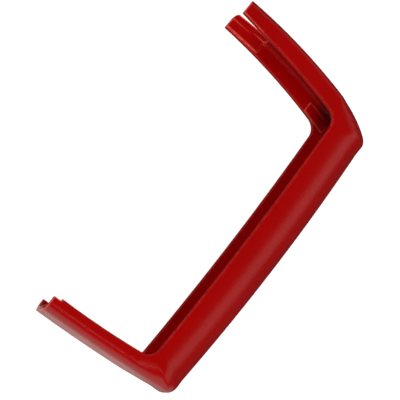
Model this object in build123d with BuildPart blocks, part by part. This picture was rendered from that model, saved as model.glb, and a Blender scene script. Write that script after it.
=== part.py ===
"""Two-piece grip sleeve for a U-shaped handle bow.

The sleeve is a C-section channel that runs up a short arm, along a wide base and up a long arm.
Its slot faces the inside of the U and its rounded back faces out. Two half shells meet on a seam
along the middle of the back, where a tongue on the lower half lies in a rebate of the upper half.
The back is open at the long arm's tip, so the arm ends in a fork of two rails.

Millimetres, +Z up. The base runs along X, both arms point to +Y, and the sleeve lies flat on Z = 0.
The origin is the middle of the footprint.
"""

from build123d import *
from math import cos, pi
import os

# Section across the sleeve
WIDTH = 20.0  # over both walls, along Z
WALL = 2.0  # plastic thickness
SEAM_HEIGHT = WIDTH / 2
LIP_ROUND = 0.5  # radius on both edges of each lip
BASE_ROUNDING = (13.0, 9.0)  # the back's edges are quarter ellipses: (along the depth, along Z)
ARM_ROUNDING = (3.5, 5.0)

# Seam
TONGUE_HEIGHT = 1.2
TONGUE_RELIEF = 0.1  # air above the tongue
TONGUE_GAP = 0.05  # air beside the tongue
TONGUE_THICKNESS = WALL / 2 - TONGUE_GAP

# Rim of the slot seen along Z, measured from the middle of the base
SHORT_RIM_TIP = (-60.0, 38.7)
SHORT_RIM_SAG = 0.65
SHORT_RIM_CORNER = (-55.7, -0.15)
SHORT_RIM_RADIUS = 4.8
RIM_BASE_MIDDLE = (0, -1.25)
LONG_RIM_CORNER = (55.0, 0)
LONG_RIM_RADIUS = 5.5
LONG_RIM_SAG = 1.4
LONG_RIM_TIP = (60.5, 50.4)

# Back of the sleeve seen along Z, drawn on past both tips
SHORT_BACK_END = (-66.4, 44.0)
SHORT_BACK_SAG = 0.7
SHORT_BACK_CORNER = (-60.0, -14.6)
BACK_CORNER_RADIUS = 2.4
BASE_BACK_MIDDLE = (0, -17.25)
LONG_BACK_CORNER = (58.0, -15.9)
LONG_HIP_END = (63.9, -2.5)  # the long arm swells out from the corner up to here
LONG_BACK_SAG = 2.0
LONG_BACK_END = (68.2, 56.0)

FOOTPRINT_MIDDLE = (1.24, 16.56)  # of the whole sleeve, from the middle of the base

# Stations of the section along the rim; they crowd together towards the corners
ARM_STATIONS = 8
CORNER_STATIONS = 10
BASE_STATIONS = 12

# Ends of the arms
LIP_STEP_LENGTH = 2.8  # both lips are lowered over this length at the short tip
LIP_STEP_DEPTH = 0.9
FORK_LENGTH = 15.2  # the long arm's back is open over this length, which leaves two rails
FORK_HALF_WIDTH_AT_TIP = 7.95
FORK_HALF_WIDTH_AT_ROOT = 7.2
RELIEF_LENGTH = 20.0  # the upper rail's lip draws back over this length towards the long tip
RELIEF_AT_START = 0.9  # inwards of the rim's direction at the tip
RELIEF_AT_TIP = 0.8  # outwards of it
NICK_LENGTH = 3.0  # small nick in the seam at the short tip
NICK_HALF_WIDTH = 0.6
RAIL_END_RADIUS = 3.0  # the lower rail's back corner at the long tip
PAD_HEIGHT = 0.5  # the lower rail is thicker than the wall by this
PAD_RAMP = 0.8

# Shallow land on the wall of the lower half, inside the long corner
LAND_HEIGHT = 0.3
LAND_CORNERS = ((56.6, 7.4), (61.0, 7.5), (58.9, -3.0), (54.6, -3.0))

OVERSHOOT = 3.0  # how far cutters run past the faces they cut
FLATNESS = 1e-6  # a face with less height than this is a plane

os.makedirs("parts", exist_ok=True)

plan = Plane(origin=(-FOOTPRINT_MIDDLE[0], -FOOTPRINT_MIDDLE[1], 0))


def corner_at(outline, corner):
    """The outline's vertex nearest to a corner."""
    return outline.vertices().sort_by_distance(plan.from_local_coords(corner))[0]


# Both outlines run from the short tip to the long tip: arm, corner, base, corner, arm
with BuildLine(plan) as rim_outline:
    SagittaArc(SHORT_RIM_TIP, SHORT_RIM_CORNER, -SHORT_RIM_SAG)
    ThreePointArc(SHORT_RIM_CORNER, RIM_BASE_MIDDLE, LONG_RIM_CORNER)
    SagittaArc(LONG_RIM_CORNER, LONG_RIM_TIP, -LONG_RIM_SAG)
    fillet(corner_at(rim_outline, SHORT_RIM_CORNER), SHORT_RIM_RADIUS)
    fillet(corner_at(rim_outline, LONG_RIM_CORNER), LONG_RIM_RADIUS)

with BuildLine(plan) as back_outline:
    SagittaArc(SHORT_BACK_END, SHORT_BACK_CORNER, -SHORT_BACK_SAG)
    ThreePointArc(SHORT_BACK_CORNER, BASE_BACK_MIDDLE, LONG_BACK_CORNER)
    long_back = SagittaArc(LONG_HIP_END, LONG_BACK_END, -LONG_BACK_SAG)
    TangentArc(LONG_HIP_END, LONG_BACK_CORNER, tangent=-(long_back % 0))
    fillet(corner_at(back_outline, SHORT_BACK_CORNER), BACK_CORNER_RADIUS)
    fillet(corner_at(back_outline, LONG_BACK_CORNER), BACK_CORNER_RADIUS)

rim = rim_outline.wire()
back = Curve(back_outline.edges())


def blend(pair_a, pair_b, share):
    """Point between two pairs of numbers."""
    return tuple(a + (b - a) * share for a, b in zip(pair_a, pair_b))


def station(edge, share, rounding):
    """Rim point, direction of travel, direction out through the back, depth and edge rounding."""
    travel = edge % share
    outward = Vector(travel.Y, -travel.X)
    point = edge @ share
    depth = IntersectingLine(start=point, direction=outward, other=back).length
    return point, travel, outward, depth, rounding


def stations_along():
    """Stations from the short tip to the long tip."""
    short_arm, short_corner, base, long_corner, long_arm = rim.order_edges()
    found = []
    for i in range(ARM_STATIONS):
        to_corner = 1 - i / ARM_STATIONS
        found.append(station(short_arm, 1 - to_corner**2, ARM_ROUNDING))
    for i in range(CORNER_STATIONS):
        share = i / CORNER_STATIONS
        found.append(station(short_corner, share, blend(ARM_ROUNDING, BASE_ROUNDING, share)))
    for i in range(BASE_STATIONS):
        share = (1 - cos(pi * i / BASE_STATIONS)) / 2
        found.append(station(base, share, BASE_ROUNDING))
    for i in range(CORNER_STATIONS):
        share = i / CORNER_STATIONS
        found.append(station(long_corner, share, blend(BASE_ROUNDING, ARM_ROUNDING, share)))
    for i in range(ARM_STATIONS + 1):
        found.append(station(long_arm, (i / ARM_STATIONS) ** 2, ARM_ROUNDING))
    return found


def half_section(plane, depth, rounding, outer_seam, inner_seam, inner_thickness):
    """Section of one half: lip, wall, rounded edge, back and stepped seam.

    The plane's x points out through the back and its y from the wall towards the seam. The two
    seams are the heights where the outer and the inner layer of the back end.
    """
    reach, rise = rounding
    near = depth - reach
    inside = depth - WALL
    with BuildSketch(plane) as profile:
        with BuildLine():
            outer_wall = Line((LIP_ROUND, 0), (near, 0))
            outer_edge = EllipticalCenterArc((near, rise), reach, rise, 270, arc_size=90)
            outer_back = Line(outer_edge @ 1, (depth, outer_seam))
            outer_land = Line(outer_back @ 1, (inside + inner_thickness, outer_seam))
            step = Line(outer_land @ 1, (inside + inner_thickness, inner_seam))
            inner_land = Line(step @ 1, (inside, inner_seam))
            Line(inner_land @ 1, (inside, rise))
            inner_edge = EllipticalCenterArc(
                (near, rise), reach - WALL, rise - WALL, 270, arc_size=90
            )
            inner_wall = Line(inner_edge @ 0, (LIP_ROUND, WALL))
            inner_round = RadiusArc(inner_wall @ 1, (0, WALL - LIP_ROUND), -LIP_ROUND)
            lip = Line(inner_round @ 1, (0, LIP_ROUND))
            RadiusArc(lip @ 1, outer_wall @ 0, -LIP_ROUND)
        make_face()
    return profile.sketch


places = stations_along()
short_tip, into_short_arm, short_outward, short_depth, _ = places[0]
long_tip, out_of_long_arm, long_outward, long_depth, _ = places[-1]
up = Vector(0, 0, 1)


# Cutters and fillers at the two tips

fork_floor = long_tip + long_outward * (long_depth - ARM_ROUNDING[0]) + up * SEAM_HEIGHT

with BuildPart() as fork_gap:
    with BuildSketch(Plane(fork_floor, out_of_long_arm, long_outward)):
        with BuildLine():
            widening = (FORK_HALF_WIDTH_AT_TIP - FORK_HALF_WIDTH_AT_ROOT) / FORK_LENGTH
            mouth = FORK_HALF_WIDTH_AT_TIP + widening * OVERSHOOT
            Polyline(
                (-FORK_LENGTH, -FORK_HALF_WIDTH_AT_ROOT), (OVERSHOOT, -mouth),
                (OVERSHOOT, mouth), (-FORK_LENGTH, FORK_HALF_WIDTH_AT_ROOT), close=True,
            )
        make_face()
    extrude(amount=ARM_ROUNDING[0] + OVERSHOOT)

with BuildPart() as seam_nick:
    with BuildSketch(Plane(short_tip + up * SEAM_HEIGHT, -into_short_arm, short_outward)):
        with BuildLine():
            Polyline(
                (-NICK_LENGTH, 0), (0, NICK_HALF_WIDTH), (0, -NICK_HALF_WIDTH), close=True
            )
        make_face()
    extrude(amount=short_depth + OVERSHOOT)

with BuildPart() as lip_step:
    with BuildSketch(Plane(short_tip - up * OVERSHOOT, -into_short_arm, up)):
        with Locations(((OVERSHOOT - LIP_STEP_LENGTH) / 2, 0)):
            Rectangle(LIP_STEP_LENGTH + OVERSHOOT, 2 * LIP_STEP_DEPTH)
    extrude(amount=WIDTH + 2 * OVERSHOOT)

with BuildPart() as lip_relief:
    with BuildSketch(Plane(long_tip + up * (SEAM_HEIGHT + OVERSHOOT), out_of_long_arm, up)):
        with BuildLine():
            slope = (RELIEF_AT_START + RELIEF_AT_TIP) / RELIEF_LENGTH
            Polyline(
                (-RELIEF_LENGTH, RELIEF_AT_START), (OVERSHOOT, -RELIEF_AT_TIP - slope * OVERSHOOT),
                (OVERSHOOT, OVERSHOOT), (-RELIEF_LENGTH, OVERSHOOT), close=True,
            )
        make_face()
    extrude(amount=WIDTH - SEAM_HEIGHT)

with BuildPart() as rail_corner:
    with BuildSketch(Plane(long_tip + long_outward * long_depth, out_of_long_arm, up)):
        with Locations((-RAIL_END_RADIUS, RAIL_END_RADIUS)):
            Rectangle(
                RAIL_END_RADIUS + OVERSHOOT, RAIL_END_RADIUS + OVERSHOOT,
                align=(Align.MIN, Align.MAX),
            )
            Circle(RAIL_END_RADIUS, mode=Mode.SUBTRACT)
    extrude(amount=WIDTH)

with BuildPart() as pad:
    with BuildSketch(Plane(long_tip + long_outward * LIP_ROUND, out_of_long_arm, long_outward)):
        with BuildLine():
            Polyline(
                (0, WALL / 2), (-FORK_LENGTH, WALL / 2), (-FORK_LENGTH, WALL),
                (PAD_RAMP - FORK_LENGTH, WALL + PAD_HEIGHT), (0, WALL + PAD_HEIGHT), close=True,
            )
        make_face()
    extrude(amount=long_depth - LIP_ROUND - WALL)

with BuildPart() as corner_land:
    with BuildSketch(plan.offset(WALL / 2)):
        with BuildLine():
            Polyline(*LAND_CORNERS, close=True)
        make_face()
    extrude(amount=WALL / 2 + LAND_HEIGHT)


def with_true_planes(shell):
    """The same solid, with each flat face rebuilt as a plane."""
    faces = []
    for face in shell.faces():
        if face.bounding_box().size.Z < FLATNESS:
            face = Face(face.outer_wire())
        faces.append(face)
    return Solid(Shell(faces))


# The two halves

with BuildPart() as lower_half_shell:
    sections = []
    for point, travel, outward, depth, rounding in places:
        plane = Plane(point, outward, -travel)
        tongue_top = SEAM_HEIGHT + TONGUE_HEIGHT - TONGUE_RELIEF
        sections.append(
            half_section(plane, depth, rounding, SEAM_HEIGHT, tongue_top, TONGUE_THICKNESS)
        )
    add(with_true_planes(loft(sections=sections, mode=Mode.PRIVATE)))
    add(pad.part)
    add(corner_land.part)
    add(fork_gap.part, mode=Mode.SUBTRACT)
    add(seam_nick.part, mode=Mode.SUBTRACT)
    add(rail_corner.part, mode=Mode.SUBTRACT)
    add(lip_step.part, mode=Mode.SUBTRACT)

with BuildPart() as upper_half_shell:
    sections = []
    for point, travel, outward, depth, rounding in places:
        plane = Plane(point + up * WIDTH, outward, travel)
        rebate_end = WIDTH - SEAM_HEIGHT - TONGUE_HEIGHT
        sections.append(
            half_section(plane, depth, rounding, WIDTH - SEAM_HEIGHT, rebate_end, WALL / 2)
        )
    add(with_true_planes(loft(sections=sections, mode=Mode.PRIVATE)))
    add(fork_gap.part, mode=Mode.SUBTRACT)
    add(seam_nick.part, mode=Mode.SUBTRACT)
    add(lip_step.part, mode=Mode.SUBTRACT)
    add(lip_relief.part, mode=Mode.SUBTRACT)

for name, shell in (("lower_half_shell", lower_half_shell), ("upper_half_shell", upper_half_shell)):
    shell.part.label = name
    export_step(shell.part, f"parts/{name}.step")
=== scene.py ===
"""Red plastic grip sleeve for a handle bow, lying on a pale studio floor."""

import math

import bpy
from mathutils import Matrix, Vector


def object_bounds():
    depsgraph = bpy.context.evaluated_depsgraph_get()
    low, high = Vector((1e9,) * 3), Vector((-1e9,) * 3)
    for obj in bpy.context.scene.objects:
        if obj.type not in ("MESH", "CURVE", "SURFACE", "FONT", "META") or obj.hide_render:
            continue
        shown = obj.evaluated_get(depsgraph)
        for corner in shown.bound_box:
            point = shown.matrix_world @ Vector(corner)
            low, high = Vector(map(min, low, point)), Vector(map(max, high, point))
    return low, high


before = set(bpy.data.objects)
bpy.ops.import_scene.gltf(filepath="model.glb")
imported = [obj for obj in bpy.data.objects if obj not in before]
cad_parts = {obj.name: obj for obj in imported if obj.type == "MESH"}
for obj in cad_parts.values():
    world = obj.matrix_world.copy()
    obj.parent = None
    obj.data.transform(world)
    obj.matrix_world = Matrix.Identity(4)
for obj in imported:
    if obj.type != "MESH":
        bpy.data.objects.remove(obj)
cad_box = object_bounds()

# Camera, in metres from the middle of the sleeve's footprint
CAMERA_PLACE = Vector((-0.13368, 0.07231, 0.41817))
CAMERA_AIM = Vector((-0.00080, 0.00232, 0.010))
PICTURE_UP_AZIMUTH = math.radians(38.6)  # the floor direction that points up in the picture
LENS_MM = 110.5
SENSOR_MM = 36.0

# Floor: a white sheet that glows, so that the sleeve's shadow stays faint; nothing reflects it
FLOOR_SIZE = 6.0
FLOOR_DROP = 0.0002  # below the sleeve's underside
FLOOR_WHITE = 0.20
FLOOR_GLOW = 0.93
FLOOR_ROUGHNESS = 0.9

# Lamps: name, azimuth, elevation, distance, width, height, power.
# The key and the fill give diffuse light only; the panels are also seen in reflections.
KEY = ("key", 205, 57, 1.5, 0.6, 0.6, 19.0)
FILL = ("fill", 85, 50, 1.5, 0.6, 0.6, 15.0)
LEFT_PANEL = ("left_panel", 185, 3, 1.0, 1.2, 0.35, 0.62)
BACK_PANEL = ("back_panel", 268, 40, 1.0, 1.6, 0.45, 1.6)
SIDE_PANEL = ("side_panel", 335, 25, 1.0, 1.0, 0.5, 0.55)
PANEL_COLOUR = (1.0, 0.88, 0.82)  # warm white, for the panels and the card
LAMP_AIM = Vector((0, 0, 0.01))

# Warm white card beyond the short arm, under the floor; only reflections show it
CARD_EDGE_X = -0.064
CARD_SIZE = (0.5, 0.8)
CARD_POWER = 0.8
CARD_DROP = 0.004

WORLD_STRENGTH = 0.03

# Plastic
RED = (0.290, 0.0005, 0.0005, 1)
DEEP_RED = (0.250, 0.0004, 0.0005, 1)
# Painted highlight: pale red mixed onto the edges, standing in for light caught by the lips'
# rounding
EDGE_HIGHLIGHT_RED = (0.80, 0.110, 0.070, 1)
PLASTIC_IOR = 1.49
NOISE_RANGE = (0.3, 0.7)  # most of a noise value lies in here
# mottle range that makes the painted edge highlight patchy
EDGE_HIGHLIGHT_RANGE = (0.35, 0.65)
BROAD_SCALE = 38
MOTTLE_SCALE = 420
GRAIN_SCALE = 2600
FLOW_SCALE = (14, 120, 120)  # streaks along the base
FLOW_TURN = (0, 0, 0.08)
BROAD_SHARE = 0.55  # the rest of the tone is mottle
SATIN_ROUGHNESS = (0.24, 0.30)
HIGHLIGHT_EDGE_ROUGHNESS = 0.12  # added on the edges that carry the painted highlight
LEAST_EDGE_HIGHLIGHT = 0.45  # least painted highlight on an edge, where the mottle is faint
EDGE_RADIUS = 0.0009
EDGE_BEVEL_SAMPLES = 6
OPEN_SURFACE_COSINE = 0.975  # above this the surface is no edge
SHARP_EDGE_COSINE = 0.85
BUMP_STRENGTH = 0.25
BUMP_DISTANCE = 0.00004


def add_camera():
    """Camera at the viewing angle, with the picture's own roll."""
    forward = (CAMERA_AIM - CAMERA_PLACE).normalized()
    picture_up = Vector((math.cos(PICTURE_UP_AZIMUTH), math.sin(PICTURE_UP_AZIMUTH), 0))
    right = forward.cross(picture_up).normalized()
    up = right.cross(forward)
    turn = Matrix((right, up, -forward)).transposed()
    data = bpy.data.cameras.new("camera")
    data.lens = LENS_MM
    data.sensor_width = SENSOR_MM
    camera = bpy.data.objects.new("camera", data)
    camera.matrix_world = Matrix.Translation(CAMERA_PLACE) @ turn.to_4x4()
    bpy.context.scene.collection.objects.link(camera)
    bpy.context.scene.camera = camera


def new_area_light(name, width, height, power):
    """Rectangular area light that the camera does not see."""
    data = bpy.data.lights.new(name, "AREA")
    data.shape = "RECTANGLE"
    data.size = width
    data.size_y = height
    data.energy = power
    lamp = bpy.data.objects.new(name, data)
    lamp.visible_camera = False
    bpy.context.scene.collection.objects.link(lamp)
    return lamp


def add_softbox(name, azimuth, elevation, distance, width, height, power):
    """Softbox that looks at the sleeve."""
    lamp = new_area_light(name, width, height, power)
    a = math.radians(azimuth)
    e = math.radians(elevation)
    out = Vector((math.cos(a) * math.cos(e), math.sin(a) * math.cos(e), math.sin(e)))
    lamp.location = LAMP_AIM + distance * out
    lamp.rotation_euler = out.to_track_quat("Z", "Y").to_euler()
    return lamp


def add_card():
    """Card below the floor that faces up and only shows in reflections."""
    card = new_area_light("white_card", CARD_SIZE[0], CARD_SIZE[1], CARD_POWER)
    card.location = (CARD_EDGE_X - CARD_SIZE[0] / 2, 0, cad_box[0][2] - CARD_DROP)
    card.rotation_euler = (math.pi, 0, 0)
    card.data.color = PANEL_COLOUR
    card.visible_diffuse = False


def add_floor():
    """Pale sheet just under the sleeve."""
    mesh = bpy.data.meshes.new("floor")
    half = FLOOR_SIZE / 2
    corners = [(-half, -half, 0), (half, -half, 0), (half, half, 0), (-half, half, 0)]
    mesh.from_pydata(corners, [], [(0, 1, 2, 3)])
    floor = bpy.data.objects.new("floor", mesh)
    floor.location.z = cad_box[0][2] - FLOOR_DROP
    floor.visible_glossy = False
    bpy.context.scene.collection.objects.link(floor)
    material = bpy.data.materials.new("pale_floor")
    material.use_nodes = True
    shader = material.node_tree.nodes["Principled BSDF"]
    shader.inputs["Base Color"].default_value = (FLOOR_WHITE, FLOOR_WHITE, FLOOR_WHITE, 1)
    shader.inputs["Roughness"].default_value = FLOOR_ROUGHNESS
    shader.inputs["Specular IOR Level"].default_value = 0.0
    shader.inputs["Emission Color"].default_value = (1, 1, 1, 1)
    shader.inputs["Emission Strength"].default_value = FLOOR_GLOW
    mesh.materials.append(material)


def noise(tree, place, scale, detail, roughness=0.5):
    """Noise value at a place."""
    node = tree.nodes.new("ShaderNodeTexNoise")
    node.inputs["Scale"].default_value = scale
    node.inputs["Detail"].default_value = detail
    node.inputs["Roughness"].default_value = roughness
    tree.links.new(place, node.inputs["Vector"])
    return node.outputs["Fac"]


def remap(tree, value, low, high, to_low, to_high):
    """Value carried from one range to another, and held at its ends."""
    node = tree.nodes.new("ShaderNodeMapRange")
    node.inputs["From Min"].default_value = low
    node.inputs["From Max"].default_value = high
    node.inputs["To Min"].default_value = to_low
    node.inputs["To Max"].default_value = to_high
    tree.links.new(value, node.inputs["Value"])
    return node.outputs["Result"]


def combine(tree, operation, a, b):
    """Sum or product of two values."""
    node = tree.nodes.new("ShaderNodeMath")
    node.operation = operation
    tree.links.new(a, node.inputs[0])
    tree.links.new(b, node.inputs[1])
    return node.outputs["Value"]


def mix_colour(tree, share, a, b):
    """Colour between two, each a constant or a socket."""
    node = tree.nodes.new("ShaderNodeMix")
    node.data_type = "RGBA"
    tree.links.new(share, node.inputs["Factor"])
    for value, socket in ((a, node.inputs[6]), (b, node.inputs[7])):
        if isinstance(value, tuple):
            socket.default_value = value
        else:
            tree.links.new(value, socket)
    return node.outputs[2]


def stretched(tree, place, scale, turn):
    """Place turned and scaled apart along its axes."""
    node = tree.nodes.new("ShaderNodeMapping")
    node.inputs["Scale"].default_value = scale
    node.inputs["Rotation"].default_value = turn
    tree.links.new(place, node.inputs["Vector"])
    return node.outputs["Vector"]


def edge_share(tree, radius):
    """1 on edges that turn within the radius, 0 on open surfaces."""
    bevel = tree.nodes.new("ShaderNodeBevel")
    bevel.samples = EDGE_BEVEL_SAMPLES
    bevel.inputs["Radius"].default_value = radius
    geometry = tree.nodes.new("ShaderNodeNewGeometry")
    dot = tree.nodes.new("ShaderNodeVectorMath")
    dot.operation = "DOT_PRODUCT"
    tree.links.new(bevel.outputs["Normal"], dot.inputs[0])
    tree.links.new(geometry.outputs["Normal"], dot.inputs[1])
    return remap(
        tree, dot.outputs["Value"], OPEN_SURFACE_COSINE, SHARP_EDGE_COSINE, 0.0, 1.0
    )


def red_plastic():
    """Moulded red plastic: satin, faintly mottled, rougher on its edges, with a painted
    highlight that makes the edges paler.
    """
    material = bpy.data.materials.new("moulded_red_plastic")
    material.use_nodes = True
    tree = material.node_tree
    shader = tree.nodes["Principled BSDF"]
    place = tree.nodes.new("ShaderNodeTexCoord").outputs["Object"]

    broad = noise(tree, place, BROAD_SCALE, 3)
    mottle = noise(tree, place, MOTTLE_SCALE, 4, 0.6)
    grain = noise(tree, place, GRAIN_SCALE, 3, 0.6)
    flow = noise(tree, stretched(tree, place, FLOW_SCALE, FLOW_TURN), 1.0, 4)
    edges = edge_share(tree, EDGE_RADIUS)

    tone = combine(tree, "ADD", remap(tree, broad, *NOISE_RANGE, 0.0, BROAD_SHARE),
                   remap(tree, mottle, *NOISE_RANGE, 0.0, 1 - BROAD_SHARE))
    plain = mix_colour(tree, tone, DEEP_RED, RED)
    # Painted highlight: the edge mask, thinned by the mottle, mixes pale red onto the edges
    edge_highlight = combine(tree, "MULTIPLY", edges, remap(tree, mottle, *EDGE_HIGHLIGHT_RANGE, LEAST_EDGE_HIGHLIGHT, 1.0))
    tree.links.new(mix_colour(tree, edge_highlight, plain, EDGE_HIGHLIGHT_RED), shader.inputs["Base Color"])

    satin = combine(tree, "ADD", remap(tree, flow, *NOISE_RANGE, *SATIN_ROUGHNESS),
                    remap(tree, edge_highlight, 0.0, 1.0, 0.0, HIGHLIGHT_EDGE_ROUGHNESS))
    tree.links.new(satin, shader.inputs["Roughness"])
    shader.inputs["IOR"].default_value = PLASTIC_IOR

    bump = tree.nodes.new("ShaderNodeBump")
    bump.inputs["Strength"].default_value = BUMP_STRENGTH
    bump.inputs["Distance"].default_value = BUMP_DISTANCE
    relief = combine(tree, "ADD", grain, combine(tree, "ADD", mottle, mottle))
    tree.links.new(relief, bump.inputs["Height"])
    tree.links.new(bump.outputs["Normal"], shader.inputs["Normal"])
    return material


def dress(node, material):
    """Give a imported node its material."""
    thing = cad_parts[node]
    thing.data.materials.clear()
    thing.data.materials.append(material)


add_camera()
add_floor()
for diffuse_lamp in (KEY, FILL):
    add_softbox(*diffuse_lamp).visible_glossy = False
for panel in (LEFT_PANEL, BACK_PANEL, SIDE_PANEL):
    add_softbox(*panel).data.color = PANEL_COLOUR
add_card()

world = bpy.data.worlds.new("studio")
world.use_nodes = True
world.node_tree.nodes["Background"].inputs["Color"].default_value = (1, 1, 1, 1)
world.node_tree.nodes["Background"].inputs["Strength"].default_value = WORLD_STRENGTH
bpy.context.scene.world = world
bpy.context.scene.view_settings.view_transform = "Standard"

plastic = red_plastic()
dress("lower_half_shell", plastic)
dress("upper_half_shell", plastic)
